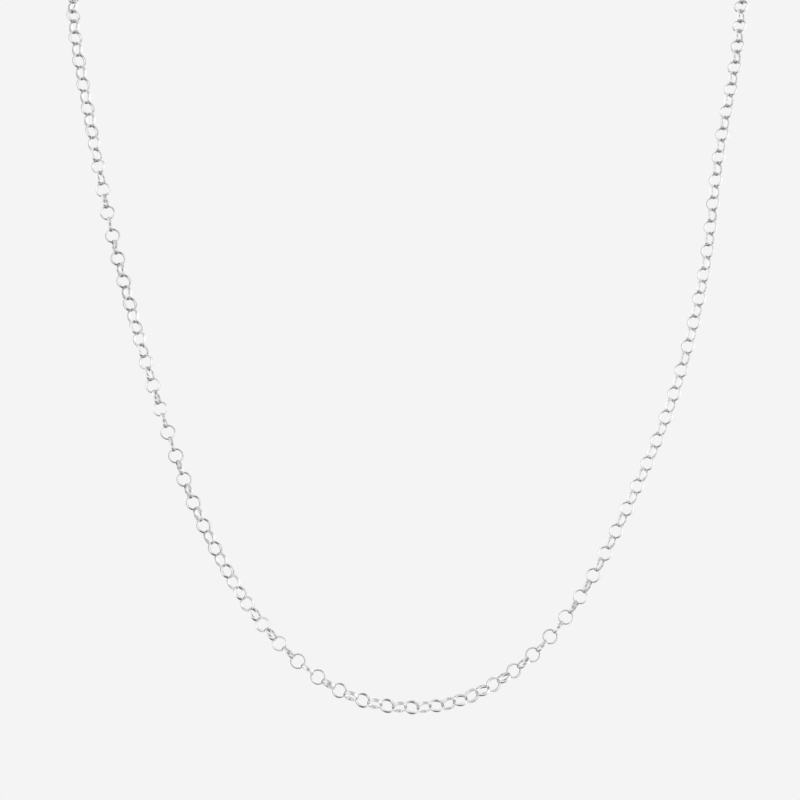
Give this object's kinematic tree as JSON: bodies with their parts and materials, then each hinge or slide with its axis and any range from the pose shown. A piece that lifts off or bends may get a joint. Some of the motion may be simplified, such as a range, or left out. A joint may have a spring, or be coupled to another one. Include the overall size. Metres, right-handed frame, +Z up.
{
  "type": "rolo chain necklace",
  "caption": "Necklace of round band links, each a quarter turn from the next, hanging in a deep U and closed at the nape by a plain ring clasp.",
  "frame": {"origin": "middle of the nape, at the middle of the clasp's round body, where the necklace sits on the back of the neck", "axes": "+Z up; -Y towards the wearer's front, where the chain hangs lowest; +X towards the right of someone who looks at the wearer's front"},
  "size_m": [0.1145, 0.0712, 0.1463],
  "materials": {
    "link_metal": "polished silver, lightly scratched",
    "ring_metal": "polished silver wire",
    "clasp_metal": "polished silver, a little duller than the links"
  },
  "bodies": {
    "root": {"chain": "link_metal", "end_ring": "ring_metal", "clasp_ring": "ring_metal", "clasp": "clasp_metal"}
  },
  "joints": []
}
